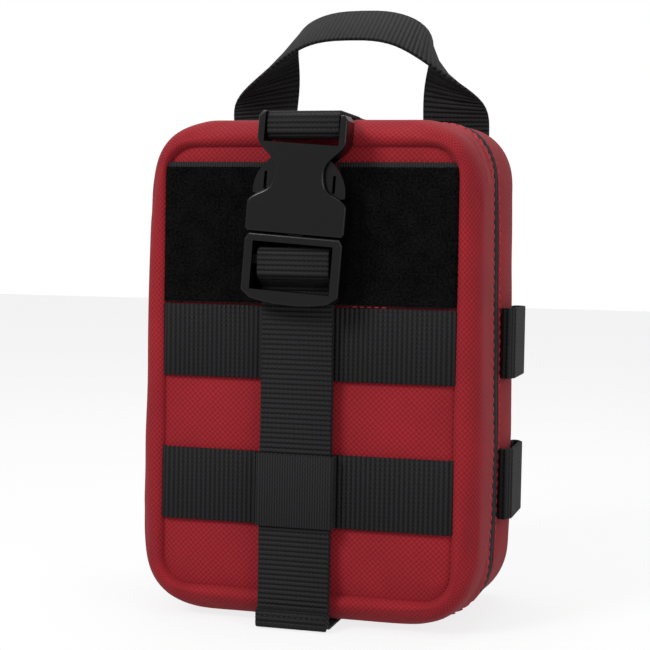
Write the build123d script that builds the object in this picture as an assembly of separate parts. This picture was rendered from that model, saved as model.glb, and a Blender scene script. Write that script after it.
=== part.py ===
from build123d import *
import math
import os

# First aid pouch on a tear-away panel, millimetres. X is the width, -Y the front, +Z up.
# The origin is on the ground, under the middle of the pouch.

# ---- driving sizes ----
pouch_width = 124.0
pouch_height = 175.0
pouch_depth = 68.0
corner_radius = 20.0
fabric = 1.8            # padded fabric wall
seam_inset = 10.0       # from the widest point of the lid to the seam of its front panel
seam_corner = 9.0
webbing_width = 25.4
webbing_pitch = 50.8
webbing_thickness = 1.3
row_thickness = 1.4
gap = 0.12              # clearance between layers that lie on each other
zip_band = 8.0          # width of both zipper tapes together
lid_depth = 27.5
ground_gap = 1.5        # room under the pouch for the strap
hinge_width = 50.0      # uninterrupted fabric at the bottom, where the zipper stops
lower_row_height = 38.5     # above the bottom seam
patch_height = 49.0
buckle_width = 35.0
buckle_thickness = 10.0
buckle_lean = 4.0       # degrees, its top towards +X
panel_thickness = 3.0
handle_spacing = 76.0
handle_rise = 40.0

keeper_thickness = 1.0
buckle_lift = 4.6       # from the strap's middle to the buckle's middle
loop_thickness = 1.6
snap_height = 2.0
slider_height = 4.6
foot_height = 16.0
roll_radius = 12.0

# ---- places that follow from them ----
bottom = ground_gap
top = bottom + pouch_height
front_stack = row_thickness + keeper_thickness + 2 * gap + webbing_thickness / 2
front_stack += buckle_lift + buckle_thickness / 2
rear_stack = 2 * loop_thickness + gap + panel_thickness + row_thickness
rear_stack += gap + webbing_thickness + snap_height
front = (front_stack - rear_stack - pouch_depth) / 2
rear = front + pouch_depth
zip_front = front + lid_depth
zip_rear = zip_front + zip_band
zip_middle = (zip_front + zip_rear) / 2
middle_z = (bottom + top) / 2
seam_bottom = bottom + seam_inset * 0.8
seam_top = top - seam_inset * 0.8
panel_half = pouch_width / 2 - seam_inset
lower_row = seam_bottom + lower_row_height
upper_row = lower_row + webbing_pitch
patch_bottom = upper_row + webbing_width / 2 + 0.6
row_face = front - row_thickness
patch_thickness = 1.6
patch_face = front - patch_thickness
load_y = row_face - keeper_thickness - 2 * gap - webbing_thickness / 2
tail_y = load_y - webbing_thickness - gap
strap_x = -2.0

loop_rear = rear + loop_thickness
hook_rear = loop_rear + gap + loop_thickness
panel_rear = hook_rear + panel_thickness


hinge_y = zip_middle
handle_y = rear + webbing_thickness / 2
handle_base = top + 2.0
fold_y = front + 8.5

buckle_x = -1.0
middle_y = load_y - buckle_lift
buckle_front = middle_y - buckle_thickness / 2
buckle_rear = middle_y + buckle_thickness / 2
joint_z = patch_bottom + 24.0
buckle_z = joint_z + 8
bar_y = middle_y - 0.4
bar_z = joint_z + 36.4
lock_y = middle_y + 0.2
lock_z = joint_z - 9.3
flap_x = buckle_x + (bar_z - buckle_z) * math.sin(math.radians(buckle_lean))


def outline(width, low, high, radius):
    """A rounded rectangle in the front view, from low to high."""
    return Pos(0, (low + high) / 2) * RectangleRounded(width, high - low, radius)


def slab(sketch, y_front, y_rear):
    """The front-view sketch, filled from y_front to y_rear."""
    return extrude(Plane.XZ.offset(-y_rear) * sketch, amount=y_rear - y_front)


def box(x0, x1, y0, y1, z0, z1):
    size = (x1 - x0, y1 - y0, z1 - z0)
    return Pos((x0 + x1) / 2, (y0 + y1) / 2, (z0 + z1) / 2) * Box(*size)


def ribbon(points, radii, width=webbing_width, thickness=webbing_thickness):
    """Webbing that follows (y, z) points in the side view."""
    path = Plane.YZ * FilletPolyline(*points, radius=radii)
    edges = path.edges()
    start = edges[0]
    across = Plane(origin=start @ 0, x_dir=(1, 0, 0), z_dir=start % 0)
    return sweep(across * Rectangle(width, thickness), path=path, transition=Transition.RIGHT)


def save(name, shape):
    export_step(shape, f"parts/{name}.step")


def cluster(name, shapes):
    """Identical pieces in one node."""
    save(name, Compound(children=[shape.solid() for shape in shapes]))


def ring(inset, y_front, y_rear, wall):
    """A band of the pouch's outline, inset from its outside."""
    low, high = bottom + inset, top - inset
    outer = outline(pouch_width - 2 * inset, low, high, corner_radius - inset)
    inner = outline(
        pouch_width - 2 * inset - 2 * wall, low + wall, high - wall, corner_radius - inset - wall
    )
    return slab(outer - inner, y_front, y_rear)


# ---- pouch shells ----
def lid_parts():
    crown = seam_inset * 0.85
    block = slab(outline(pouch_width, bottom, top, corner_radius), front, zip_front)
    face = block.faces().sort_by(Axis.Y)[0]
    block = fillet(face.edges(), crown)
    hollow = slab(
        outline(
            pouch_width - 2 * fabric, bottom + fabric, top - fabric, corner_radius - fabric
        ),
        front + fabric,
        zip_front,
    )
    inner_face = hollow.faces().sort_by(Axis.Y)[0]
    hollow = fillet(inner_face.edges(), crown - fabric)
    window = outline(2 * panel_half, seam_bottom, seam_top, seam_corner)
    opening = slab(window, front - 1, front + fabric + 0.5)
    save("lid_gusset", block - hollow - opening)
    save("front_panel", slab(window, front, front + fabric))


def field():
    """The outline of both hook and loop fields, below the feet of the handle."""
    return outline(pouch_width - 18, bottom + 9, top - foot_height - 2, corner_radius / 2)


def rear_parts():
    save("rear_gusset", ring(0, zip_rear, rear - fabric, fabric))
    save("back_panel", slab(outline(pouch_width, bottom, top, corner_radius), rear - fabric, rear))
    save("back_loop_field", slab(field(), rear, loop_rear))
    hinge = box(
        -hinge_width / 2, hinge_width / 2, zip_front + gap, zip_rear, bottom, bottom + fabric
    )
    save("hinge_gusset", hinge)


# ---- zipper ----
tape = 0.9
tape_inset = 0.5
coil = 2.6
coil_split = 0.2


def without_hinge(band):
    room = hinge_width / 2 + gap
    return band - box(-room, room, -pouch_depth, pouch_depth, -5, bottom + 4 * fabric)


def zipper_parts():
    half = coil / 2
    low = zip_middle - half
    high = zip_middle + half
    save("lid_zipper_tape", without_hinge(ring(tape_inset, zip_front, low, tape)))
    save("rear_zipper_tape", without_hinge(ring(tape_inset, high, zip_rear, tape)))
    save("lid_zipper_coil", without_hinge(ring(0.2, low, zip_middle - coil_split / 2, tape + 0.5)))
    save("rear_zipper_coil", without_hinge(ring(0.2, zip_middle + coil_split / 2, high, tape + 0.5)))


slider_length = 10.0
slider_z = bottom + corner_radius + slider_length
pull_length = 21.0
pull_width = 5.0
pull_thickness = 1.4
pull_x = -pouch_width / 2 - gap - 2.6


def slider_parts():
    """The slider on the left side, its bridge, and the pull that hangs from it."""
    skin = -pouch_width / 2 - gap
    half = slider_length / 2
    plate = box(
        skin - 1.5, skin, zip_middle - 4, zip_middle + 4, slider_z - half, slider_z + half
    )
    plate = fillet(plate.edges().filter_by(Axis.X), 2.0)
    bridge = box(
        skin - slider_height, skin - 1.5, zip_middle - 1.2, zip_middle + 1.2, slider_z - 3.2, slider_z + 3.2
    )
    eye = box(skin - 3.7, skin - 1.5, zip_middle - 2, zip_middle + 2, slider_z - 2, slider_z + 2)
    save("zipper_slider", plate + (bridge - eye))

    thick = pull_thickness / 2
    wide = pull_width / 2
    pull = box(
        pull_x - thick, pull_x + thick, zip_middle - wide, zip_middle + wide,
        slider_z - pull_length, slider_z + thick,
    )
    pull = fillet(pull.edges().filter_by(Axis.X), 0.65)
    hole = box(
        pull_x - 2, pull_x + 2, zip_middle - 1.5, zip_middle + 1.5, slider_z - 4.4, slider_z - thick
    )
    save("zipper_pull", pull - hole)


# ---- front face ----
def front_parts():
    row_half = panel_half - 0.8
    for name, z in (("upper", upper_row), ("lower", lower_row)):
        half = webbing_width / 2
        save(f"{name}_front_webbing", box(-row_half, row_half, row_face, front, z - half, z + half))
    patch = box(
        -row_half, row_half, patch_face, front, patch_bottom, patch_bottom + patch_height
    )
    save("name_patch_loop", patch)


def side_webbing():
    """Short loops of webbing across the rear gusset, sewn at both ends."""
    rise = gap + slider_height
    half = webbing_width / 2
    y0, y1 = zip_rear + 1.2, rear - 0.4
    for name, side in (("left", -1), ("right", 1)):
        loops = []
        for z in (lower_row, upper_row):
            skin = pouch_width / 2
            points = [
                (skin, y0), (skin + row_thickness, y0), (skin + rise, y0 + 3.5),
                (skin + rise, y1 - 3.5), (skin + row_thickness, y1), (skin, y1),
                (skin, y1 - 3.0), (skin + rise - row_thickness, y1 - 5.0),
                (skin + rise - row_thickness, y0 + 5.0), (skin, y0 + 3.0),
            ]
            sketch = make_face(Polyline(*[(side * x, y) for x, y in points], close=True))
            loops.append(extrude(Pos(0, 0, z - half) * sketch, amount=webbing_width))
        cluster(f"{name}_side_webbing", loops)


# ---- carry handle ----
def handle_parts():
    """Webbing sewn flat to the back that stands up and turns over to lie flat at its crest."""
    crest = top + handle_rise
    tilt = math.radians(30)
    reach = handle_spacing / 2
    sections = []
    steps = 20
    for i in range(steps + 1):
        turn = math.pi * i / steps
        share = min(1.0, math.sin(turn) / 0.8)
        twist = math.pi / 2 * share * share * (3 - 2 * share)
        inward = 1 if turn < math.pi / 2 else -1
        along = Vector(
            reach * math.sin(turn), 0, (crest - handle_base) * math.cos(turn)
        ).normalized()
        across = Vector(
            inward * math.cos(twist),
            math.sin(twist) * math.cos(tilt),
            math.sin(twist) * math.sin(tilt),
        )
        across = (across - along * across.dot(along)).normalized()
        centre = Vector(
            -reach * math.cos(turn),
            handle_y - 7 * math.sin(turn),
            handle_base + (crest - handle_base) * math.sin(turn),
        )
        place = Plane(origin=centre, x_dir=across, z_dir=along)
        sections.append(place * Rectangle(webbing_width, webbing_thickness))
    save("carry_handle", loft(sections, ruled=True))
    half = webbing_width / 2
    feet = [
        box(
            side * reach - half, side * reach + half, rear, rear + webbing_thickness,
            top - foot_height, handle_base - 1.2,
        )
        for side in (-1, 1)
    ]
    cluster("handle_feet", feet)


# ---- strap and buckle ----
def lean(shape):
    """Turn a buckle piece about the middle of the buckle, as it hangs."""
    middle = Pos(buckle_x, 0, buckle_z)
    return middle * Rot(0, buckle_lean, 0) * middle.inverse() * shape


def symmetric(pieces):
    """A closed outline about x = 0 from its right half: runs of points, curved where over two."""
    edges = []
    for run in pieces:
        curve = Spline(*run) if len(run) > 2 else Line(*run)
        edges += [curve, curve.mirror(Plane.YZ)]
    return make_face(edges)


def strap_parts():
    across = Pos(strap_x, 0, 0)
    over = top + gap + webbing_thickness / 2
    back = panel_rear + gap + webbing_thickness / 2
    end = top - foot_height
    path = [(back, end), (back, over), (fold_y + 1.2, over)]
    save("top_strap", Pos(flap_x, 0, 0) * ribbon(path, 3.0))
    near, far = bar_y + 3.2, bar_y - 3.2
    path = [
        (fold_y - 0.8, over), (far, over), (far, bar_z - 3.4), (near, bar_z - 3.4), (near, bar_z + 1)
    ]
    save("flap_strap", Pos(flap_x, 0, 0) * ribbon(path, 2.4))

    under = webbing_thickness / 2
    save("rear_strap_run", across * ribbon([(hinge_y + 3.5, under), (back, under), (back, 16)], 3.0))
    half = webbing_width / 2
    run = box(
        strap_x - half, strap_x + half, load_y - under, hinge_y - 3.5, 0, webbing_thickness
    )
    save("front_strap_run", run)

    loop_front = lock_y - 3.5
    loop_low = lock_z - 4.4
    loop_high = lock_z + 4.4
    path = [
        (load_y, webbing_thickness + gap), (load_y, loop_high), (loop_front, loop_high),
        (loop_front, loop_low), (tail_y, loop_low - 3.6), (tail_y, 1.0),
    ]
    strap = across * ribbon(path, 1.9)
    hem = box(
        strap_x - half, strap_x + half, tail_y - 2 * webbing_thickness - under, tail_y, 0.3, 6.8
    )
    save("front_strap", strap + hem)

    inner = half + 0.35
    ring_front = tail_y - webbing_thickness / 2 - gap - keeper_thickness
    outer = box(
        strap_x - inner - keeper_thickness, strap_x + inner + keeper_thickness,
        ring_front, row_face, lower_row - 12.5, lower_row + 12.5,
    )
    outer = fillet(outer.edges().filter_by(Axis.Z), 0.9)
    hollow = box(
        strap_x - inner, strap_x + inner, ring_front + keeper_thickness,
        row_face - keeper_thickness, lower_row - 20, lower_row + 20,
    )
    save("strap_keeper", outer - hollow)


def socket_part():
    """The upper half: a mouth, a waist open at the sides, and a head with a bar."""
    low = joint_z
    wall = 1.8
    mouth = buckle_width / 2
    outlines = symmetric([
        ((0, low), (mouth - 1.0, low)),
        ((mouth - 1.0, low), (mouth, low + 1.2)),
        ((mouth, low + 1.2), (mouth, low + 10.4)),
        (
            (mouth, low + 10.4), (14.4, low + 13.0), (10.2, low + 15.6), (8.8, low + 19.6),
            (9.2, low + 23.8), (12.4, low + 27.4), (15.6, low + 31.6),
        ),
        ((15.6, low + 31.6), (15.6, low + 39.2)),
        ((15.6, low + 39.2), (14.2, low + 41.0)),
        ((14.2, low + 41.0), (0, low + 41.0)),
    ])
    shell = slab(outlines, buckle_front, buckle_rear)
    shell = fillet(shell.edges().filter_by(Plane.XZ), 0.9)
    hollow = box(-14.6, 14.6, buckle_front + wall, buckle_rear - wall, low - 1, low + 12.6)
    hollow += box(-20, 20, buckle_front + wall, buckle_rear - wall, low + 12.6, low + 26.8)
    slot = box(-13.1, 13.1, buckle_front - 1, buckle_rear + 1, low + 30.6, low + 42)
    half = 1.3
    bar = box(-13.6, 13.6, bar_y - half, bar_y + half, bar_z - 1.6, bar_z + 1.6)
    bar = fillet(bar.edges().filter_by(Axis.X), 0.9)
    save("buckle_socket", lean(Pos(buckle_x, 0, 0) * (shell - hollow - slot + bar)))


def plug_parts():
    """The lower half: a ladder frame the strap threads, a guide, and two sprung arms."""
    high = joint_z - 0.3
    side = buckle_width / 2 - 0.2
    foot = high - 22.4
    frame = symmetric([
        ((0, high), (side - 1.4, high)),
        ((side - 1.4, high), (side, high - 2.2)),
        ((side, high - 2.2), (side, foot + 2.6)),
        ((side, foot + 2.6), (side - 3.4, foot)),
        ((side - 3.4, foot), (side - 8.0, foot - 0.9), (0, foot - 1.5)),
    ])
    frame = slab(frame, buckle_front, buckle_rear)
    frame = fillet(frame.edges().filter_by(Plane.XZ), 0.9)
    window = box(-14.1, 14.1, buckle_front - 1, buckle_rear + 1, high - 19.2, high - 2.8)
    behind = box(-14.1, 14.1, tail_y - 0.95, buckle_rear + 1, high - 30, high - 2.8)
    bar = box(-14.5, 14.5, lock_y - 1.5, lock_y + 1.5, lock_z - 2.2, lock_z + 2.2)
    bar = fillet(bar.edges().filter_by(Axis.X), 1.2)
    guide = box(-2.6, 2.6, middle_y - 2.6, middle_y + 2.6, high - 0.5, high + 12)
    save("buckle_plug", lean(Pos(buckle_x, 0, 0) * (frame - window - behind + bar + guide)))

    for name, turn in (("left", -1), ("right", 1)):
        root = (13.6, high + 0.3)
        catch = (16.2, high + 13.5)
        tip = (10.2, high + 26.0)
        arm = [
            Line((9.8, high + 0.3), root),
            Line(root, (13.6, high + 13.1)),
            Line((13.6, high + 13.1), catch),
            Spline(catch, (15.7, high + 18.4), (13.2, high + 23.0), tip),
            Spline(tip, (8.8, high + 24.4), (9.4, high + 12.0), (9.8, high + 0.3)),
        ]
        leaf = slab(make_face(arm), middle_y - 2.8, middle_y + 2.8)
        groove = box(11.6, 12.6, middle_y - 4, middle_y + 4, high + 15.0, high + 21.0)
        leaf = leaf - groove
        if turn < 0:
            leaf = leaf.mirror(Plane.YZ)
        save(f"{name}_buckle_arm", lean(Pos(buckle_x, 0, 0) * leaf))


# ---- tear-away panel behind the pouch ----
def panel_parts():
    save("panel_hook_field", slab(field(), loop_rear + gap, hook_rear))
    board = outline(pouch_width - 8, bottom + 4.5, top - 4.5, corner_radius - 3)
    save("tear_away_panel", slab(board, hook_rear, panel_rear))
    half = webbing_width / 2
    rows = [
        box(-50, 50, panel_rear, panel_rear + row_thickness, z - half, z + half)
        for z in (upper_row - webbing_pitch, upper_row)
    ]
    cluster("panel_webbing", rows)
    y0 = panel_rear + row_thickness + gap
    straps = [
        box(x - half, x + half, y0, y0 + webbing_thickness, 18, top - 30)
        for x in (-webbing_width - 4, webbing_width + 4)
    ]
    cluster("attachment_straps", straps)
    face = y0 + webbing_thickness
    snaps = [
        Pos(x, face + snap_height / 2, 27) * Rot(90, 0, 0) * Cylinder(7.0, snap_height)
        for x in (-webbing_width - 4, webbing_width + 4)
    ]
    cluster("strap_snaps", snaps)


# ---- inside ----
def inside_parts():
    wall = rear - fabric
    pocket = box(-47, 47, wall - 11, wall, 12, 88)
    pocket = fillet(pocket.edges().filter_by(Axis.Y), 6)
    room = box(-46, 46, wall - 10, wall + 1, 13, 100)
    save("inner_pocket", pocket - room)
    packets = [
        box(x - 20, x + 20, wall - 8.5, wall - 1.5, 15, 96) for x in (-23, 23)
    ]
    cluster("dressing_packets", packets)
    rolls = []
    loops = []
    for x in (-33, 0, 33):
        y = wall - roll_radius - 1.3
        rolls.append(Pos(x, y, 131) * Cylinder(roll_radius, 52))
        ring_out = Cylinder(roll_radius + 1.3, 22) + box(
            -roll_radius - 1.3, roll_radius + 1.3, 0, wall - y, -11, 11
        )
        ring_in = Cylinder(roll_radius + 0.3, 24) + box(
            -roll_radius - 0.3, roll_radius + 0.3, 0, wall - y + 1, -12, 12
        )
        loops.append(Pos(x, y, 131) * (ring_out - ring_in))
    cluster("bandage_rolls", rolls)
    cluster("elastic_loops", loops)
    lid_wall = front + fabric
    save("lid_pocket", box(-44, 44, lid_wall + 0.05, lid_wall + 1.05, 22, 120))


if __name__ == "__main__":
    os.makedirs("parts", exist_ok=True)
    lid_parts()
    rear_parts()
    zipper_parts()
    slider_parts()
    front_parts()
    side_webbing()
    handle_parts()
    strap_parts()
    socket_part()
    plug_parts()
    panel_parts()
    inside_parts()
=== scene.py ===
import math

import bpy
import numpy as np
from mathutils import Matrix, Vector, noise


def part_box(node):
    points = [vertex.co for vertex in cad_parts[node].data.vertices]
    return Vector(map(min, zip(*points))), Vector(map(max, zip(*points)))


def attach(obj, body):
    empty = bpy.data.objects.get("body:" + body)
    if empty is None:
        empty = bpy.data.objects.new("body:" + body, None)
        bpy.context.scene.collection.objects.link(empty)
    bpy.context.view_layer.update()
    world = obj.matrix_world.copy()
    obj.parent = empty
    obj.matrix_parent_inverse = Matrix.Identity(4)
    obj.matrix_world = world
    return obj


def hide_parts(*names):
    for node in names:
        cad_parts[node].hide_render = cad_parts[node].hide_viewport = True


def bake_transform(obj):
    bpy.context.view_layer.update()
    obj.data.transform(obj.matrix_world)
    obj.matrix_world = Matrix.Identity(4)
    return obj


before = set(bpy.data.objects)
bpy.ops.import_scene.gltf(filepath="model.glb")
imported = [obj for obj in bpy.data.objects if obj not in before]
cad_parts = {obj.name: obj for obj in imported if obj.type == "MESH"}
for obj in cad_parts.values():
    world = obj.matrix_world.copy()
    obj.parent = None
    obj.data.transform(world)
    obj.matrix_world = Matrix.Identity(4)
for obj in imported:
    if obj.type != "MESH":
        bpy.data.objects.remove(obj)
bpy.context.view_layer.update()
bpy.ops.object.select_all(action="DESELECT")
mm = 0.001


# low and high corners of a CAD node
def place(node):
    low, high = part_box(node)
    return Vector(low), Vector(high)


def linear(code):
    parts = [int(code[i:i + 2], 16) / 255 for i in (1, 3, 5)]
    return [c / 12.92 if c <= 0.04045 else ((c + 0.055) / 1.055) ** 2.4 for c in parts] + [1.0]


def addNode(tree, kind, inputs=None, **settings):
    node = tree.nodes.new(kind)
    for name, value in settings.items():
        setattr(node, name, value)
    for name, value in (inputs or {}).items():
        if isinstance(value, bpy.types.NodeSocket):
            tree.links.new(value, node.inputs[name])
        else:
            node.inputs[name].default_value = value
    return node


def newMaterial(name, **sockets):
    material = bpy.data.materials.new(name)
    material.use_nodes = True
    tree = material.node_tree
    tree.nodes.clear()
    shader = addNode(tree, "ShaderNodeBsdfPrincipled", sockets)
    addNode(tree, "ShaderNodeOutputMaterial", {"Surface": shader.outputs[0]})
    return material, tree, shader


# material, body and the CAD nodes a piece stands for
def finishPiece(obj, body, material, stands=()):
    if not obj.data.materials:
        obj.data.materials.append(material)
    if body:
        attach(obj, body)
    if stands:
        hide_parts(*stands)
    return obj


# plain weave: threads pass over and under each other, one pitch apart
def weaveHeight(tree, u, v, pitch):
    across = addNode(tree, "ShaderNodeMath", {0: u, 1: math.pi / pitch}, operation="MULTIPLY")
    along = addNode(tree, "ShaderNodeMath", {0: v, 1: math.pi / pitch}, operation="MULTIPLY")
    waveU = addNode(tree, "ShaderNodeMath", {0: across.outputs[0]}, operation="SINE")
    waveV = addNode(tree, "ShaderNodeMath", {0: along.outputs[0]}, operation="SINE")
    return addNode(
        tree, "ShaderNodeMath", {0: waveU.outputs[0], 1: waveV.outputs[0]}, operation="MULTIPLY"
    ).outputs[0]


def uvPair(tree):
    uv = addNode(tree, "ShaderNodeUVMap", uv_map="cloth")
    split = addNode(tree, "ShaderNodeSeparateXYZ", {0: uv.outputs[0]})
    return uv, split.outputs[0], split.outputs[1]


def corduraMaterial(name, code, dark, light):
    # 1000 denier nylon, coated behind: matt coarse basket weave with a faint sheen, its weave coloured with
    #                                   painted highlight on the thread tops and painted shade in the hollows
    material, tree, shader = newMaterial(name, Roughness=0.8)
    shader.inputs["Specular IOR Level"].default_value = 0.22
    shader.inputs["Sheen Weight"].default_value = 0.05
    shader.inputs["Sheen Roughness"].default_value = 0.45
    uv, u, v = uvPair(tree)
    bend = addNode(tree, "ShaderNodeTexNoise", {"Vector": uv.outputs[0], "Scale": 0.35, "Detail": 2.0})
    shift = addNode(tree, "ShaderNodeMath", {0: bend.outputs[0], 1: 0.9}, operation="MULTIPLY")
    wobble = addNode(tree, "ShaderNodeMath", {0: v, 1: shift.outputs[0]}, operation="ADD")
    # real threads are 0.6 mm apart, drawn at 0.95 mm so that they show
    weave = weaveHeight(tree, u, wobble.outputs[0], 0.95)
    level = addNode(
        tree, "ShaderNodeMapRange", {0: weave, 1: -1.0, 2: 1.0, 3: 0.0, 4: 1.0}
    )
    fine = addNode(tree, "ShaderNodeTexNoise", {"Vector": uv.outputs[0], "Scale": 1.9, "Detail": 4.0})
    # the weave's colour is painted light and shade: thread tops lighter as a painted highlight, hollows
    # between threads darker as painted shade
    tone = addNode(tree, "ShaderNodeValToRGB", {0: level.outputs[0]})
    ramp = tone.color_ramp
    ramp.elements[0].position, ramp.elements[0].color = 0.05, linear(dark)
    ramp.elements[1].position, ramp.elements[1].color = 0.95, linear(light)
    middle = ramp.elements.new(0.5)
    middle.color = linear(code)
    broad = addNode(tree, "ShaderNodeTexNoise", {"Vector": uv.outputs[0], "Scale": 0.045, "Detail": 3.0})
    fade = addNode(
        tree, "ShaderNodeMapRange", {0: broad.outputs[0], 1: 0.3, 2: 0.7, 3: 0.9, 4: 1.1}
    )
    speck = addNode(
        tree, "ShaderNodeMapRange", {0: fine.outputs[0], 1: 0.25, 2: 0.75, 3: 0.86, 4: 1.14}
    )
    both = addNode(
        tree, "ShaderNodeMath", {0: fade.outputs[0], 1: speck.outputs[0]}, operation="MULTIPLY"
    )
    colour = addNode(
        tree, "ShaderNodeVectorMath", {0: tone.outputs[0], "Scale": both.outputs[0]},
        operation="SCALE",
    )
    tree.links.new(colour.outputs[0], shader.inputs["Base Color"])
    height = addNode(
        tree, "ShaderNodeMath", {0: level.outputs[0], 1: fine.outputs[0]}, operation="ADD"
    )
    bump = addNode(
        tree, "ShaderNodeBump", {"Height": height.outputs[0], "Strength": 0.55, "Distance": 0.00022}
    )
    tree.links.new(bump.outputs[0], shader.inputs["Normal"])
    return material


def webbingMaterial(name, code, light, pitch=1.7, depth=0.0004):
    # ribbed nylon webbing: shiny filaments in ribs across its length; the rib crests are painted lighter as a
    # painted highlight and the grooves between them darker as painted shade
    material, tree, shader = newMaterial(name, Roughness=0.6)
    shader.inputs["Specular IOR Level"].default_value = 0.16
    shader.inputs["Sheen Weight"].default_value = 0.03
    shader.inputs["Sheen Roughness"].default_value = 0.4
    uv, u, v = uvPair(tree)
    turn = addNode(tree, "ShaderNodeMath", {0: v, 1: 2 * math.pi / pitch}, operation="MULTIPLY")
    rib = addNode(tree, "ShaderNodeMath", {0: turn.outputs[0]}, operation="SINE")
    level = addNode(tree, "ShaderNodeMapRange", {0: rib.outputs[0], 1: -1.0, 2: 0.6, 3: 0.0, 4: 1.0})
    # warp ends 0.8 mm apart cross the ribs
    fine = weaveHeight(tree, u, v, 0.8)
    grain = addNode(tree, "ShaderNodeTexNoise", {"Vector": uv.outputs[0], "Scale": 1.4, "Detail": 4.0})
    weak = addNode(tree, "ShaderNodeMath", {0: fine, 1: 0.16}, operation="MULTIPLY")
    mixed = addNode(
        tree, "ShaderNodeMath", {0: level.outputs[0], 1: weak.outputs[0]}, operation="ADD"
    )
    rough = addNode(tree, "ShaderNodeMath", {0: grain.outputs[0], 1: 0.35}, operation="MULTIPLY")
    height = addNode(
        tree, "ShaderNodeMath", {0: mixed.outputs[0], 1: rough.outputs[0]}, operation="ADD"
    )
    # painted highlight on the rib crests and painted shade in the grooves between them, and a little on the
    # finer weave too
    tone = addNode(tree, "ShaderNodeValToRGB", {0: height.outputs[0]})
    ramp = tone.color_ramp
    ramp.elements[0].position, ramp.elements[0].color = 0.1, linear(code)
    ramp.elements[1].position, ramp.elements[1].color = 1.0, linear(light)
    tree.links.new(tone.outputs[0], shader.inputs["Base Color"])
    bump = addNode(
        tree, "ShaderNodeBump", {"Height": height.outputs[0], "Strength": 0.8, "Distance": depth}
    )
    tree.links.new(bump.outputs[0], shader.inputs["Normal"])
    return material


# an even surface with a fine random grain, in object coordinates, scale in grains per metre
def grainMaterial(name, code, light, scale, depth, roughness, sheen=0.0, detail=5.0, metallic=0.0, gloss=0.5):
    material, tree, shader = newMaterial(name, Roughness=roughness, Metallic=metallic)
    shader.inputs["Specular IOR Level"].default_value = gloss
    if sheen:
        shader.inputs["Sheen Weight"].default_value = sheen
        shader.inputs["Sheen Roughness"].default_value = 0.6
    where = addNode(tree, "ShaderNodeTexCoord")
    grain = addNode(
        tree, "ShaderNodeTexNoise",
        {"Vector": where.outputs["Object"], "Scale": scale, "Detail": detail, "Roughness": 0.65},
    )
    broad = addNode(
        tree, "ShaderNodeTexNoise",
        {"Vector": where.outputs["Object"], "Scale": scale / 9, "Detail": 3.0},
    )
    uneven = addNode(tree, "ShaderNodeMapRange", {0: broad.outputs[0], 1: 0.3, 2: 0.7, 3: 0.88, 4: 1.12})
    both = addNode(
        tree, "ShaderNodeMath", {0: grain.outputs[0], 1: uneven.outputs[0]}, operation="MULTIPLY"
    )
    tone = addNode(tree, "ShaderNodeValToRGB", {0: both.outputs[0]})
    ramp = tone.color_ramp
    ramp.elements[0].position, ramp.elements[0].color = 0.36, linear(code)
    ramp.elements[1].position, ramp.elements[1].color = 0.66, linear(light)
    tree.links.new(tone.outputs[0], shader.inputs["Base Color"])
    bump = addNode(
        tree, "ShaderNodeBump", {"Height": grain.outputs[0], "Strength": 0.5, "Distance": depth}
    )
    tree.links.new(bump.outputs[0], shader.inputs["Normal"])
    return material


redCordura = corduraMaterial("redCordura", "#8c1721", "#75111a", "#981d28")
blackLining = corduraMaterial("blackLining", "#1a1a1c", "#0f0f10", "#262628")
boardCordura = corduraMaterial("boardCordura", "#1c1c1e", "#101011", "#2b2b2d")
nylonWebbing = webbingMaterial("nylonWebbing", "#060607", "#1f1f21")
elasticBand = webbingMaterial("elasticBand", "#0a0a0b", "#232325", pitch=0.9, depth=0.0002)
gauzeCrepe = webbingMaterial("gauzeCrepe", "#b9b3a4", "#efece2", pitch=1.3, depth=0.0004)
loopPile = grainMaterial("loopPile", "#010101", "#131314", 1300, 0.0009, 1.0, gloss=0.05)
zipperTape = webbingMaterial("zipperTape", "#07080a", "#17181c", pitch=1.0, depth=0.0001)
zipperCoil = grainMaterial("zipperCoil", "#0a0a0b", "#1e1e20", 900, 0.00005, 0.4)
acetal = grainMaterial("acetal", "#020203", "#070709", 2600, 0.00001, 0.25, gloss=0.36)
blackEnamel = grainMaterial("blackEnamel", "#0b0b0c", "#1b1b1d", 700, 0.00003, 0.28)
blackenedBrass = grainMaterial("blackenedBrass", "#2c2925", "#47423b", 1800, 0.00001, 0.34, metallic=1.0)
paperFilm = grainMaterial("paperFilm", "#c3cbd0", "#f2f5f6", 260, 0.0001, 0.5)
redThread = grainMaterial("redThread", "#9c1d28", "#c83a47", 3000, 0.00004, 0.6, gloss=0.3)
blackThread = grainMaterial("blackThread", "#0a0a0b", "#242426", 3000, 0.00004, 0.6, gloss=0.3)
print("materials made")


# points round the pouch from its bottom middle, with outward normals and running length
def roundOutline(halfWidth, low, high, radius, step=3.0 * mm, xMiddle=0.0):
    corners = [
        (halfWidth - radius, low + radius, -90), (halfWidth - radius, high - radius, 0),
        (-halfWidth + radius, high - radius, 90), (-halfWidth + radius, low + radius, 180),
    ]
    rows = []
    for i, (cx, cz, start) in enumerate(corners):
        for k in range(9):
            a = math.radians(start + 90 * k / 8)
            rows.append((cx + radius * math.cos(a), cz + radius * math.sin(a), math.cos(a), math.sin(a)))
    rows = [(0.0, low, 0.0, -1.0)] + rows + [(0.0, low, 0.0, -1.0)]
    full = []
    for (x0, z0, a0, b0), (x1, z1, a1, b1) in zip(rows, rows[1:]):
        count = max(1, round(math.hypot(x1 - x0, z1 - z0) / step))
        for k in range(count):
            t = k / count
            n = Vector((a0 + (a1 - a0) * t, b0 + (b1 - b0) * t)).normalized()
            full.append((x0 + (x1 - x0) * t, z0 + (z1 - z0) * t, n.x, n.y))
    out, s = [], 0.0
    for i, (x, z, a, b) in enumerate(full):
        if i:
            s += math.hypot(x - full[i - 1][0], z - full[i - 1][1])
        out.append((x + xMiddle, z, a, b, s))
    return out


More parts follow.
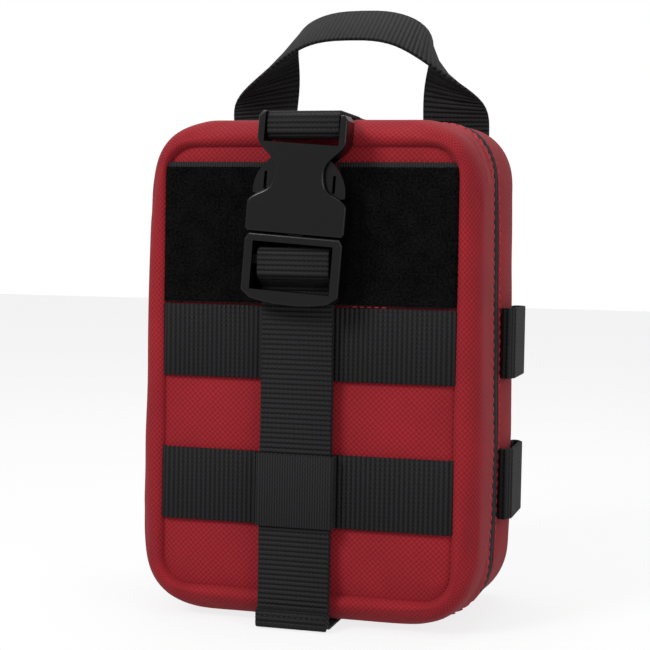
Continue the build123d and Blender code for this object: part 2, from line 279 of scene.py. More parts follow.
# a smooth closed profile of (inset, y) through the points, at even spacing
def easeProfile(points, step):
    count = len(points)
    fine = []
    for i in range(count):
        p0, p1, p2, p3 = (Vector(points[(i + k) % count]) for k in (-1, 0, 1, 2))
        n = max(1, round((p2 - p1).length / step))
        for k in range(n):
            t = k / n
            fine.append(
                0.5 * ((2 * p1) + (p2 - p0) * t + (2 * p0 - 5 * p1 + 4 * p2 - p3) * t * t
                       + (3 * p1 - p0 - 3 * p2 + p3) * t ** 3)
            )
    return fine


# a tube of the profile carried round the outline, with its cloth lengths as UVs in mm
def loft(name, outline, profile, closed=True, soft=None):
    rows, cols = len(outline), len(profile)
    verts, faces, uvs = [], [], []
    along = [0.0]
    for a, b in zip(profile, profile[1:] + profile[:1]):
        along.append(along[-1] + (Vector(b) - Vector(a)).length)
    for x, z, nx, nz, _ in outline:
        for inset, y in profile:
            p = Vector((x - nx * inset, y, z - nz * inset))
            verts.append(soft(p, Vector((nx, 0, nz)), inset) if soft else p)
    last = outline[-1][4] + (outline[1][4] - outline[0][4])
    for i in range(rows if closed else rows - 1):
        j = (i + 1) % rows
        s0, s1 = outline[i][4], outline[j][4] if j else last
        for k in range(cols):
            m = (k + 1) % cols
            faces.append((i * cols + k, j * cols + k, j * cols + m, i * cols + m))
            uvs += [(s0, along[k]), (s1, along[k]), (s1, along[k + 1]), (s0, along[k + 1])]
    if not closed:
        faces.append(tuple(range(cols))[::-1])
        uvs += [(0, along[k]) for k in range(cols)][::-1]
        faces.append(tuple((rows - 1) * cols + k for k in range(cols)))
        uvs += [(0, along[k]) for k in range(cols)]
    mesh = bpy.data.meshes.new(name)
    mesh.from_pydata([tuple(v) for v in verts], [], faces)
    layer = mesh.uv_layers.new(name="cloth")
    layer.data.foreach_set("uv", [c * 1000 for uv in uvs for c in uv])
    obj = bpy.data.objects.new(name, mesh)
    bpy.context.scene.collection.objects.link(obj)
    outward(obj)
    return obj


def choose(obj):
    bpy.ops.object.select_all(action="DESELECT")
    obj.select_set(True)
    bpy.context.view_layer.objects.active = obj


def outward(obj):
    choose(obj)
    bpy.ops.object.mode_set(mode="EDIT")
    bpy.ops.mesh.select_all(action="SELECT")
    bpy.ops.mesh.normals_make_consistent(inside=False)
    bpy.ops.object.mode_set(mode="OBJECT")
    bpy.ops.object.shade_smooth()


def subdivideSoft(obj, levels=1):
    choose(obj)
    soft = obj.modifiers.new("soft", "SUBSURF")
    soft.levels = soft.render_levels = levels
    bpy.ops.object.modifier_apply(modifier=soft.name)


# cloth under pressure, its sewn points held, and no point moved further than the cap
def swell(obj, held, pressure=60.0, cap=2.0 * mm, weight=0.004):
    before = np.empty(len(obj.data.vertices) * 3)
    obj.data.vertices.foreach_get("co", before)
    group = obj.vertex_groups.new(name="sewn")
    group.add(held, 1.0, "REPLACE")
    cloth = obj.modifiers.new("cloth", "CLOTH")
    cloth.settings.quality = 5
    cloth.settings.mass = weight
    cloth.settings.vertex_group_mass = "sewn"
    cloth.settings.use_pressure = True
    cloth.settings.uniform_pressure_force = pressure
    cloth.settings.effector_weights.gravity = 0
    cloth.point_cache.frame_start, cloth.point_cache.frame_end = 1, 20
    for step in range(1, 21):
        bpy.context.scene.frame_set(step)
    choose(obj)
    bpy.ops.object.modifier_apply(modifier=cloth.name)
    obj.vertex_groups.clear()
    bpy.context.scene.frame_set(1)
    after = np.empty_like(before)
    obj.data.vertices.foreach_get("co", after)
    move = (after - before).reshape(-1, 3)
    far = np.linalg.norm(move, axis=1)
    print(f"  {obj.name} swelled by up to {far.max() * 1000:.2f} mm")
    move *= np.minimum(1, cap / np.maximum(far, 1e-9))[:, None]
    obj.data.vertices.foreach_set("co", before + move.ravel())
    obj.data.update()


panelLow, panelHigh = place("front_panel")
gussetLow, gussetHigh = place("lid_gusset")
rearLow = place("rear_gusset")[0]
backLow, backHigh = place("back_panel")
pouch = {
    "halfWidth": gussetHigh.x, "low": gussetLow.z, "high": gussetHigh.z, "radius": 20 * mm,
    "front": panelLow.y, "zipFront": gussetHigh.y, "zipRear": rearLow.y, "back": backHigh.y,
    "seam": gussetHigh.x - panelHigh.x,
}
shellOutline = roundOutline(pouch["halfWidth"], pouch["low"], pouch["high"], pouch["radius"])


# filled cloth is a little narrower at its top and uneven along its sides
def slack(p, normal, inset):
    share = (p.z - pouch["low"]) / (pouch["high"] - pouch["low"])
    pull = -2.2 * mm * max(0.0, share - 0.35) / 0.65 - 0.7 * mm * max(0.0, 0.2 - share) / 0.2
    outer = max(0.0, min(1.0, 1.0 - (inset - 1 * mm) / (9 * mm)))
    side = abs(normal.x)
    wave = noise.noise(Vector((p.x * 22, p.y * 30, p.z * 20))) * 0.7 * mm
    wave += noise.noise(Vector((p.x * 60, p.y * 70 + 9, p.z * 55))) * 0.3 * mm
    out = Vector((normal.x * (pull * side + wave), wave * 0.25, normal.z * wave * 0.5))
    return p + out * outer


# red gusset of the lid, a padded roll from the front seam to the zipper
def makeLid():
    f, z = pouch["front"], pouch["zipFront"]
    seam = pouch["seam"]
    lidRoll = {
        "outer": [
            (seam + 0.3 * mm, f + 2.2 * mm), (seam - 0.1 * mm, f - 0.1 * mm), (8.2 * mm, f - 1.7 * mm),
            (5.8 * mm, f - 1.5 * mm), (3.6 * mm, f + 0.3 * mm), (2.2 * mm, f + 3.6 * mm),
            (1.4 * mm, f + 8.0 * mm), (0.9 * mm, f + 14 * mm), (0.5 * mm, f + 20 * mm),
            (0.1 * mm, z - 3.0 * mm), (0.2 * mm, z - 1.0 * mm), (1.2 * mm, z),
        ],
        "inner": [
            (3.4 * mm, z), (4.0 * mm, z - 3.0 * mm), (4.2 * mm, f + 13 * mm), (5.2 * mm, f + 6.5 * mm),
            (8.0 * mm, f + 3.6 * mm), (seam + 0.4 * mm, f + 2.8 * mm),
        ],
    }
    profile = easeProfile(lidRoll["outer"] + lidRoll["inner"], 1.6 * mm)
    obj = loft("lidRoll", shellOutline, profile, soft=slack)
    held = [
        v.index for v in obj.data.vertices
        if v.co.y > z - 6 * mm or seamDepth(v.co) > seam - 0.9 * mm
    ]
    swell(obj, held, cap=1.1 * mm)
    subdivideSoft(obj)
    lineInside(obj, 3.0 * mm, f + 3.4 * mm, z)
    finishPiece(obj, "lid", redCordura, ["lid_gusset"])
    return obj


# how far a point is inside the pouch's outline, seen from the front
def seamDepth(p):
    w, r = pouch["halfWidth"], pouch["radius"]
    middle = (pouch["low"] + pouch["high"]) / 2
    half = (pouch["high"] - pouch["low"]) / 2
    dx, dz = abs(p.x) - (w - r), abs(p.z - middle) - (half - r)
    if dx > 0 and dz > 0:
        return r - math.hypot(dx, dz)
    return r - max(dx, dz)


# faces between two depths and well inside the outline that look inwards are black lining
def lineInside(obj, depth, near, far):
    obj.data.materials.append(redCordura)
    obj.data.materials.append(blackLining)
    middle = Vector((0, 0, (pouch["low"] + pouch["high"]) / 2))
    for face in obj.data.polygons:
        towards = middle - face.center
        towards.y = 0
        inside = seamDepth(face.center) > depth and near < face.center.y < far
        if inside and face.normal.dot(towards.normalized()) > 0.25:
            face.material_index = 1


# red gusset behind the zipper, with the bound seam of the back panel
def makeRear():
    z, b = pouch["zipRear"], pouch["back"]
    rearRoll = {
        "outer": [
            (1.5 * mm, z), (0.7 * mm, z + 1.0 * mm), (0.2 * mm, z + 3.5 * mm), (-0.4 * mm, z + 10 * mm),
            (-0.9 * mm, b - 14 * mm), (-0.9 * mm, b - 7 * mm), (0.2 * mm, b - 2.5 * mm),
            (1.8 * mm, b - 0.6 * mm), (4.0 * mm, b - 0.2 * mm),
        ],
        "inner": [
            (5.5 * mm, b - 1.8 * mm), (4.6 * mm, b - 5 * mm), (4.0 * mm, b - 12 * mm),
            (3.8 * mm, z + 8 * mm), (3.6 * mm, z + 2 * mm), (3.2 * mm, z),
        ],
    }
    profile = easeProfile(rearRoll["outer"] + rearRoll["inner"], 1.7 * mm)
    obj = loft("rearRoll", shellOutline, profile, soft=slack)
    held = [
        v.index for v in obj.data.vertices
        if v.co.y < z + 3.5 * mm or v.co.y > b - 2.6 * mm
    ]
    swell(obj, held, cap=1.3 * mm)
    subdivideSoft(obj)
    lineInside(obj, 3.0 * mm, z, b - 2.2 * mm)
    finishPiece(obj, "pouch_back", redCordura, ["rear_gusset"])
    return obj


# a closed pad between two depths, its cloth lengths in mm as UVs
def grid(name, x0, x1, z0, z1, yFront, yBack, step):
    nx, nz = max(2, round((x1 - x0) / step)), max(2, round((z1 - z0) / step))
    bpy.ops.mesh.primitive_grid_add(x_subdivisions=nx, y_subdivisions=nz, size=1)
    obj = bpy.context.object
    obj.name = obj.data.name = name
    width, height = x1 - x0, z1 - z0
    for v in obj.data.vertices:
        v.co = Vector((x0 + (v.co.x + 0.5) * width, yFront, z0 + (v.co.y + 0.5) * height))
    while obj.data.uv_layers:
        obj.data.uv_layers.remove(obj.data.uv_layers[0])
    layer = obj.data.uv_layers.new(name="cloth")
    for loop in obj.data.loops:
        p = obj.data.vertices[loop.vertex_index].co
        layer.data[loop.index].uv = (p.x * 1000, p.z * 1000)
    choose(obj)
    thick = obj.modifiers.new("thick", "SOLIDIFY")
    thick.thickness = yBack - yFront
    thick.offset = -1.0
    bpy.ops.object.modifier_apply(modifier=thick.name)
    low = min(v.co.y for v in obj.data.vertices)
    for v in obj.data.vertices:
        v.co.y += yFront - low
    outward(obj)
    return obj


# a square pad's corners follow the pouch's own outline, an inset inside it
def roundCorners(obj, inset):
    r = max(1 * mm, pouch["radius"] - inset)
    cx = pouch["halfWidth"] - inset - r
    cz = (pouch["high"] - pouch["low"]) / 2 - inset - r
    middle = (pouch["low"] + pouch["high"]) / 2
    for v in obj.data.vertices:
        dx, dz = abs(v.co.x) - cx, abs(v.co.z - middle) - cz
        if dx > 0 and dz > 0:
            k = max(dx, dz) / math.hypot(dx, dz)
            v.co.x = math.copysign(cx + dx * k, v.co.x)
            v.co.z = middle + math.copysign(cz + dz * k, v.co.z - middle)


# red front of the lid: it puffs out only between the webbing sewn across it
def makeFrontPanel():
    f = pouch["front"]
    frontPad = {"tuck": 2.5 * mm, "thick": 3.0 * mm}
    t = frontPad["tuck"]
    obj = grid(
        "frontPad", panelLow.x - t, panelHigh.x + t, panelLow.z - t, panelHigh.z + t,
        f + 0.25 * mm, f + 0.25 * mm + frontPad["thick"], 2.0 * mm,
    )
    roundCorners(obj, pouch["seam"] - t)
    sewn = [place(n) for n in ("upper_front_webbing", "lower_front_webbing", "name_patch_loop")]
    held = []
    for v in obj.data.vertices:
        edge = min(
            v.co.x - panelLow.x, panelHigh.x - v.co.x, v.co.z - panelLow.z, panelHigh.z - v.co.z
        )
        under = any(a.z - 1 * mm < v.co.z < b.z + 1 * mm for a, b in sewn)
        if v.co.y > f + 1.5 * mm or edge < 1.5 * mm or under:
            held.append(v.index)
    for v in obj.data.vertices:
        if v.co.y < f + 1.5 * mm:
            v.co.y -= 0.15 * mm * noise.noise(Vector((v.co.x * 28, 4.0, v.co.z * 34)))
            v.co.y += 1.8 * mm * max(0.0, 1 - max(0.0, seamDepth(v.co) - pouch["seam"] + t) / (4.5 * mm))
    swell(obj, held, pressure=90.0, cap=1.5 * mm)
    subdivideSoft(obj)
    obj.data.materials.append(redCordura)
    obj.data.materials.append(blackLining)
    for face in obj.data.polygons:
        if face.normal.y > 0.5:
            face.material_index = 1
    finishPiece(obj, "lid", redCordura, ["front_panel"])
    return obj


def makeBackPanel():
    b = pouch["back"]
    edge = 4.5 * mm
    obj = grid(
        "backPad", backLow.x + edge, backHigh.x - edge, backLow.z + edge, backHigh.z - edge,
        b - 3.0 * mm, b - 0.1 * mm, 3.0 * mm,
    )
    roundCorners(obj, edge)
    held = [v.index for v in obj.data.vertices if v.co.y > b - 1.5 * mm or seamDepth(v.co) < 7 * mm]
    swell(obj, held, cap=1.2 * mm)
    subdivideSoft(obj)
    obj.data.materials.append(redCordura)
    obj.data.materials.append(blackLining)
    for face in obj.data.polygons:
        if face.normal.y < -0.5:
            face.material_index = 1
    finishPiece(obj, "pouch_back", redCordura, ["back_panel"])
    return obj


lidRoll = makeLid()
rearRoll = makeRear()
frontPad = makeFrontPanel()
makeBackPanel()
print("padded shells made")


# one modelled element copied to every spot: (middle, direction, outward)
def spread(name, spots, base, body, material, stands=()):
    verts = np.array([v.co for v in base.data.vertices])
    faces = [tuple(f.vertices) for f in base.data.polygons]
    allVerts, allFaces = [], []
    for middle, direction, outward_ in spots:
        x = direction.normalized()
        z = (outward_ - x * outward_.dot(x)).normalized()
        y = z.cross(x)
        turn = np.array([x, y, z])
        start = len(allVerts) * len(verts)
        allVerts.append(verts @ turn + np.array(middle))
        allFaces += [tuple(i + start for i in f) for f in faces]
    mesh = bpy.data.meshes.new(name)
    mesh.from_pydata(np.concatenate(allVerts).tolist(), [], allFaces)
    obj = bpy.data.objects.new(name, mesh)
    bpy.context.scene.collection.objects.link(obj)
    choose(obj)
    bpy.ops.object.shade_smooth()
    bpy.data.objects.remove(base)
    return finishPiece(obj, body, material, stands)


def stitchShape(length=2.5 * mm, thread=0.42 * mm):
    bpy.ops.object.select_all(action="DESELECT")
    bpy.ops.mesh.primitive_uv_sphere_add(segments=6, ring_count=5, radius=1.0)
    obj = bpy.context.object
    for v in obj.data.vertices:
        v.co = Vector((v.co.x * length / 2, v.co.y * thread, v.co.z * thread * 0.8))
    return obj


# topstitching round the pouch at one depth, laid on the swollen cloth
def sewAround(name, shell, y, body, start=0.0, pitch=3.2 * mm, skip=0.0):
    spots = []
    outline = roundOutline(pouch["halfWidth"], pouch["low"], pouch["high"], pouch["radius"], pitch)
    total = outline[-1][4] + pitch
    reach = start
    for a, b in zip(outline, outline[1:]):
        while reach < b[4]:
            t = (reach - a[4]) / max(1e-9, b[4] - a[4])
            x, z = a[0] + (b[0] - a[0]) * t, a[1] + (b[1] - a[1]) * t
            if skip < reach < total - skip:
                out = Vector((a[2], 0, a[3]))
                guess = Vector((x, y, z)) + out * 6 * mm
                hit, where, normal, _ = shell.ray_cast(guess, -out)
                if hit:
                    along = Vector((-a[3], 0, a[2]))
                    spots.append((where + normal * 0.05 * mm, along, normal))
            reach += pitch
    return spread(name, spots, stitchShape(), body, redThread)


def makeZipper():
    zf, zr = pouch["zipFront"], pouch["zipRear"]
    zm = (zf + zr) / 2
    zipper = {"hingeHalf": 27 * mm, "coilPitch": 1.6 * mm, "coilRadius": 1.05 * mm}
    total = shellOutline[-1][4]
    course = [p for p in shellOutline if zipper["hingeHalf"] < p[4] < total - zipper["hingeHalf"]]
    sides = {
        "zipTapeLid": ([
            (1.3 * mm, zf - 1.6 * mm), (0.5 * mm, zf + 0.2 * mm), (0.0, zm - 2.2 * mm),
            (-0.3 * mm, zm - 0.9 * mm), (0.2 * mm, zm - 0.06 * mm), (1.9 * mm, zm - 0.06 * mm),
            (2.0 * mm, zm - 1.2 * mm), (2.3 * mm, zf), (2.6 * mm, zf - 1.6 * mm),
        ], "lid", "lid_zipper_tape"),
        "zipTapeRear": ([
            (2.6 * mm, zr + 1.6 * mm), (2.3 * mm, zr), (2.0 * mm, zm + 1.2 * mm),
            (1.9 * mm, zm + 0.06 * mm), (0.2 * mm, zm + 0.06 * mm), (-0.3 * mm, zm + 0.9 * mm),
            (0.0, zm + 2.2 * mm), (0.5 * mm, zr - 0.2 * mm), (1.3 * mm, zr + 1.6 * mm),
        ], "pouch_back", "rear_zipper_tape"),
    }
    for name, (profile, body, node) in sides.items():
        tape = loft(name, course, profile, closed=False, soft=slack)
        finishPiece(tape, body, zipperTape, [node])
    for name, side, body, node in (
        ("zipCoilLid", -1, "lid", "lid_zipper_coil"), ("zipCoilRear", 1, "pouch_back", "rear_zipper_coil")
    ):
        spots = []
        reach = zipper["hingeHalf"] + (0 if side < 0 else zipper["coilPitch"] / 2)
        for a, b in zip(course, course[1:]):
            while reach < b[4]:
                t = (reach - a[4]) / max(1e-9, b[4] - a[4])
                n = Vector((a[2], 0, a[3]))
                p = Vector((a[0] + (b[0] - a[0]) * t, zm + side * 0.55 * mm, a[1] + (b[1] - a[1]) * t))
                p = slack(p, n, 0.0) - n * 2.9 * mm
                spots.append((p, Vector((-n.z, side * 0.35, n.x)), n))
                reach += zipper["coilPitch"]
        bpy.ops.object.select_all(action="DESELECT")
        bpy.ops.mesh.primitive_torus_add(
            major_segments=8, minor_segments=4, major_radius=zipper["coilRadius"],
            minor_radius=0.3 * mm, rotation=(0, math.pi / 2, 0),
        )
        loop = bpy.context.object
        bpy.ops.object.transform_apply(location=True, rotation=True, scale=True)
        spread(name, spots, loop, body, zipperCoil, [node])
    # the cloth that joins both halves under the pouch
    count = 19
    half = zipper["hingeHalf"] + 3.4 * mm
    base = [
        (-half + 2 * half * i / (count - 1), pouch["low"], 0.0, -1.0, 2 * half * i / (count - 1))
        for i in range(count)
    ]
    fold = easeProfile([
        (0.9 * mm, zf - 2.5 * mm), (0.1 * mm, zf), (-0.1 * mm, zm), (0.1 * mm, zr),
        (0.9 * mm, zr + 2.5 * mm), (2.9 * mm, zr + 2 * mm), (2.3 * mm, zm), (2.9 * mm, zf - 2 * mm),
    ], 1.0 * mm)
    hinge = loft("hingeFold", base, fold, closed=False)
    finishPiece(hinge, None, redCordura, ["hinge_gusset"])
    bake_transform(hinge)
    sewAround("lidStitchNear", lidRoll, zf - 2.6 * mm, "lid")
    sewAround("lidStitchFar", lidRoll, zf - 5.6 * mm, "lid", start=1.5 * mm)
    sewAround("rearStitch", rearRoll, zr + 2.6 * mm, "pouch_back", start=0.8 * mm)


makeZipper()
print("zipper made")


# webbing: a plane's far edge is drawn out along its course, then thickened and softened
def ribbon(name, pairs, thickness=1.3 * mm, soften=0.35 * mm, start=0.0):
    bpy.ops.object.select_all(action="DESELECT")
    bpy.ops.mesh.primitive_plane_add(size=0.01)
    obj = bpy.context.object
    obj.name = obj.data.name = name
    corners = sorted(range(4), key=lambda i: (round(obj.data.vertices[i].co.y, 4), obj.data.vertices[i].co.x))
    rows = [(corners[0], corners[1]), (corners[2], corners[3])]
    bpy.ops.object.mode_set(mode="EDIT")
    bpy.ops.mesh.select_mode(type="EDGE")
    bpy.ops.mesh.select_all(action="DESELECT")
    bpy.ops.object.mode_set(mode="OBJECT")
    far = set(rows[1])
    for edge in obj.data.edges:
        edge.select = set(edge.vertices) == far
    bpy.ops.object.mode_set(mode="EDIT")
    for i in range(2, len(pairs)):
        bpy.ops.mesh.extrude_edges_move(TRANSFORM_OT_translate={"value": (0, 0.01, 0)})
        rows.append(None)
    bpy.ops.object.mode_set(mode="OBJECT")
    mesh = obj.data
    # extruding keeps left and right, so the rows are found again by their places
    order = sorted(
        range(len(mesh.vertices)), key=lambda i: (round(mesh.vertices[i].co.y, 4), mesh.vertices[i].co.x)
    )
    along, uvOf = start, {}
    for i, (left, right) in enumerate(pairs):
        left, right = Vector(left), Vector(right)
        if i:
            along += ((left + right) / 2 - (Vector(pairs[i - 1][0]) + Vector(pairs[i - 1][1])) / 2).length
        wide = (right - left).length * 500
        a, b = order[2 * i], order[2 * i + 1]
        mesh.vertices[a].co, mesh.vertices[b].co = left, right
        uvOf[a], uvOf[b] = (-wide, along * 1000), (wide, along * 1000)
    while mesh.uv_layers:
        mesh.uv_layers.remove(mesh.uv_layers[0])
    layer = mesh.uv_layers.new(name="cloth")
    for loop in mesh.loops:
        layer.data[loop.index].uv = uvOf[loop.vertex_index]
    choose(obj)
    body = obj.modifiers.new("body", "SOLIDIFY")
    body.thickness, body.offset = thickness, 0.0
    bpy.ops.object.modifier_apply(modifier=body.name)
    edge = obj.modifiers.new("edge", "BEVEL")
    edge.width, edge.segments, edge.limit_method, edge.angle_limit = soften, 2, "ANGLE", math.radians(50)
    bpy.ops.object.modifier_apply(modifier=edge.name)
    bpy.ops.object.shade_smooth_by_angle(angle=math.radians(55))
    return obj


# a course with rounded corners and evenly spaced points, in (a, b)
def bend(points, radius, step=4.0 * mm):
    points = [Vector(p) for p in points]
    out = [points[0]]
    for before, corner, after in zip(points, points[1:], points[2:]):
        u, w = (before - corner), (after - corner)
        angle = u.angle(w)
        cut = min(radius / math.tan(angle / 2), u.length * 0.49, w.length * 0.49)
        r = cut * math.tan(angle / 2)
        p, q = corner + u.normalized() * cut, corner + w.normalized() * cut
        centre = corner + (u.normalized() + w.normalized()).normalized() * math.hypot(r, cut)
        a0, a1 = p - centre, q - centre
        count = max(3, round(a0.angle(a1) / math.radians(16)))
        for k in range(count + 1):
            t = k / count
            out.append(centre + (a0 * (1 - t) + a1 * t).normalized() * r)
    out.append(points[-1])
    even = [out[0]]
    for p in out[1:]:
        gap = (p - even[-1]).length
        if gap < 0.05 * mm:
            continue
        parts = max(1, round(gap / step))
        start = even[-1]
        even += [start + (p - start) * (k / parts) for k in range(1, parts + 1)]
    return even


# a strap whose course is drawn in the side view, as (y, z)
def sideStrap(name, course, xMiddle, width, thickness=1.3 * mm, start=0.0):
    pairs = [
        ((xMiddle - width / 2, p[0], p[1]), (xMiddle + width / 2, p[0], p[1])) for p in course
    ]
    return ribbon(name, pairs, thickness, start=start)


webbing = {"width": 25.4 * mm, "thick": 1.3 * mm}


def makeFrontWebbing():
    for name, node in (("rowUpper", "upper_front_webbing"), ("rowLower", "lower_front_webbing")):
        low, high = place(node)
        count = 36
        pairs = []
        for i in range(count + 1):
            x = panelLow.x - 1.2 * mm + (panelHigh.x - panelLow.x + 2.4 * mm) * i / count
            y = (low.y + high.y) / 2 - 0.12 * mm
            y += 2.2 * mm * max(0.0, (abs(x) - panelHigh.x + 2.6 * mm) / (3.8 * mm)) ** 2
            lift = noise.noise(Vector((x * 30, 7.0, low.z * 40))) * 0.25 * mm
            pairs.append(((x, y + lift, low.z), (x, y - lift, high.z)))
        obj = ribbon(name, pairs, high.y - low.y)
        finishPiece(obj, "lid", nylonWebbing, [node])
    # a little of the sewing thread shows above the upper row
    low, high = place("upper_front_webbing")
    y = pouch["front"] - 0.5 * mm
    spots = [
        (Vector((17 * mm + 2.6 * mm * i, y, high.z + 0.35 * mm)), Vector((1, 0, 0.04)), Vector((0, -1, 0)))
        for i in range(5)
    ]
    spread("rowThread", spots, stitchShape(2.2 * mm, 0.3 * mm), "lid", redThread)


# loop field: a woven backing with a bare selvage, and brushed pile on it
def makePatch():
    low, high = place("name_patch_loop")
    patch = {"selvage": 1.7 * mm, "backing": 0.8 * mm}
    y = high.y - patch["backing"] / 2 - 0.1 * mm
    reach = panelHigh.x + 0.8 * mm
    pairs = []
    for i in range(41):
        x = -reach + 2 * reach * i / 40
        tuck = 1.8 * mm * max(0.0, (abs(x) - reach + 3.2 * mm) / (3.2 * mm)) ** 2
        pairs.append(((x, y + tuck, low.z), (x, y + tuck, high.z)))
    backing = ribbon("patchBacking", pairs, patch["backing"] + 0.2 * mm, soften=0.2 * mm)
    finishPiece(backing, "lid", elasticBand)
    pile = grid(
        "patchPile", -reach + 0.3 * mm, reach - 0.3 * mm, low.z + 0.4 * mm, high.z - patch["selvage"],
        low.y + 0.1 * mm, high.y - 0.4 * mm, 0.8 * mm,
    )
    for v in pile.data.vertices:
        v.co.y += 1.8 * mm * max(0.0, (abs(v.co.x) - reach + 3.2 * mm) / (3.2 * mm)) ** 2
    ruffle(pile, 0.45 * mm)
    finishPiece(pile, "lid", loopPile, ["name_patch_loop"])


# brushed loops stand up unevenly on the pile's outer face
def ruffle(obj, depth):
    choose(obj)
    for name, scale, share in (("tufts", 1.0 * mm, 1.1), ("brushing", 5.0 * mm, 0.2)):
        texture = bpy.data.textures.new(name, "CLOUDS")
        texture.noise_scale = scale
        texture.noise_depth = 2
        lift = obj.modifiers.new(name, "DISPLACE")
        lift.texture, lift.strength, lift.mid_level = texture, depth * share, 0.5
        bpy.ops.object.modifier_apply(modifier=lift.name)


# the load strap: under the lid, up the front, through the buckle and back down to its hem
def makeStrap():
    strapLow, strapHigh = place("front_strap")
    runHigh = place("front_strap_run")[1]
    x = (strapLow.x + strapHigh.x) / 2
    half = webbing["thick"] / 2
    load = strapHigh.y - half
    tail = load - webbing["thick"] - 0.15 * mm
    loopFront = strapLow.y + half
    top = strapHigh.z - half
    strap = {"bar": 8.8 * mm, "hem": 6.6 * mm}
    course = bend([
        (runHigh.y, half), (load, half), (load, top), (loopFront, top),
        (loopFront, top - strap["bar"]), (tail, top - strap["bar"] - 3.6 * mm), (tail, 1.2 * mm),
    ], 1.9 * mm)
    for p in course:
        if 12 * mm < p.y < top - 20 * mm and p.x < load + 1 * mm:
            p.x += 0.18 * mm * math.sin(p.y * 95)
    obj = sideStrap("frontStrap", course, x, webbing["width"])
    finishPiece(obj, None, nylonWebbing, ["front_strap", "front_strap_run"])
    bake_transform(obj)
    # the tail is folded over twice and sewn at its end
    folds = bend([
        (tail - 0.9 * mm, strap["hem"] + 0.4 * mm), (tail - 0.9 * mm, 0.9 * mm),
        (tail - 2.5 * mm, 0.9 * mm), (tail - 2.5 * mm, strap["hem"]),
    ], 0.8 * mm, 2 * mm)
    hem = sideStrap("strapHem", folds, x, webbing["width"] - 0.2 * mm, 1.25 * mm, start=0.0009)
    finishPiece(hem, "lid", nylonWebbing)
    spots = [
        (Vector((x + sx * mm, tail - 3.15 * mm, z)), Vector((1, 0, 0)), Vector((0, -1, 0)))
        for z in (2.2 * mm, 4.6 * mm) for sx in range(-11, 12, 2)
    ]
    spread("hemStitch", spots, stitchShape(1.7 * mm, 0.25 * mm), "lid", blackThread)

    keeperLow, keeperHigh = place("strap_keeper")
    thick = 1.0 * mm
    t = thick / 2
    loop = bend([
        (x, keeperHigh.y - t), (keeperHigh.x - t, keeperHigh.y - t), (keeperHigh.x - t, keeperLow.y + t),
        (keeperLow.x + t, keeperLow.y + t), (keeperLow.x + t, keeperHigh.y - t), (x, keeperHigh.y - t),
    ], 1.3 * mm, 2 * mm)
    pairs = [((p.x, p.y, keeperLow.z), (p.x, p.y, keeperHigh.z)) for p in loop]
    keeper = ribbon("strapKeeper", pairs, thick, soften=0.25 * mm)
    finishPiece(keeper, "lid", elasticBand, ["strap_keeper"])

    underLow, underHigh = place("rear_strap_run")
    back = underHigh.y - half
    course = bend([(runHigh.y + 0.05 * mm, half), (back, half), (back, underHigh.z)], 3 * mm)
    obj = sideStrap("rearStrap", course, x, webbing["width"])
    finishPiece(obj, None, nylonWebbing, ["rear_strap_run"])
    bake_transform(obj)


# the strap over the top, its end looped round the bar of the buckle and sewn to itself
def makeTopStrap():
    topLow, topHigh = place("top_strap")
    flapLow = place("flap_strap")[0]
    x = (topLow.x + topHigh.x) / 2
    half = webbing["thick"] / 2
    over, back = topHigh.z - half, topHigh.y - half
    far, low = flapLow.y + half, flapLow.z + half
    near = far + 6.4 * mm
    course = bend([
        (back, topLow.z), (back, over), (far, over), (far, low), (near, low), (near, over - 3.2 * mm),
        (near + 6 * mm, over - 1.5 * mm),
    ], 2.5 * mm, 3 * mm)
    for p in course:
        if topLow.y + 6 * mm < p.x < back - 6 * mm and p.y > over - 0.5 * mm:
            p.y += 0.25 * mm * math.sin(p.x * 110)
    obj = sideStrap("topStrap", course, x, webbing["width"])
    finishPiece(obj, None, nylonWebbing, ["top_strap", "flap_strap"])
    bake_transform(obj)
    y = back + half + 0.1 * mm
    spots = [
        (Vector((x + sx * mm, y, topLow.z + z * mm)), Vector((1, 0, 0)), Vector((0, 1, 0)))
        for z in (2, 9) for sx in range(-11, 12, 2)
    ]
    stitch = stitchShape(1.7 * mm, 0.28 * mm)
    spread("topStrapStitch", spots, stitch, "pouch_back", blackThread)


# loops of webbing on the rear gusset, sewn down at both ends and standing proud between
def makeSideWebbing():
    for node, side in (("left_side_webbing", -1), ("right_side_webbing", 1)):
        low, high = place(node)
        outer = high.x if side > 0 else -low.x
        inner = outer - 4.7 * mm
        t = 0.7 * mm
        course = bend([
            (inner + 0.3 * mm, high.y - 5.5 * mm), (inner + 0.5 * mm, high.y - t),
            (inner + 2.4 * mm, high.y - t), (outer - t, high.y - 4 * mm), (outer - t, low.y + 4 * mm),
            (inner + 2.4 * mm, low.y + t), (inner + 0.5 * mm, low.y + t),
            (inner + 0.3 * mm, low.y + 5.5 * mm),
        ], 1.2 * mm, 2.5 * mm)
        for k, z in enumerate((low.z, high.z - webbing["width"])):
            pairs = [
                ((side * p.x, p.y, z), (side * p.x, p.y, z + webbing["width"])) for p in course
            ]
            obj = ribbon(f"{'right' if side > 0 else 'left'}Side{k}", pairs, 1.4 * mm)
            finishPiece(obj, "pouch_back", nylonWebbing, [node])


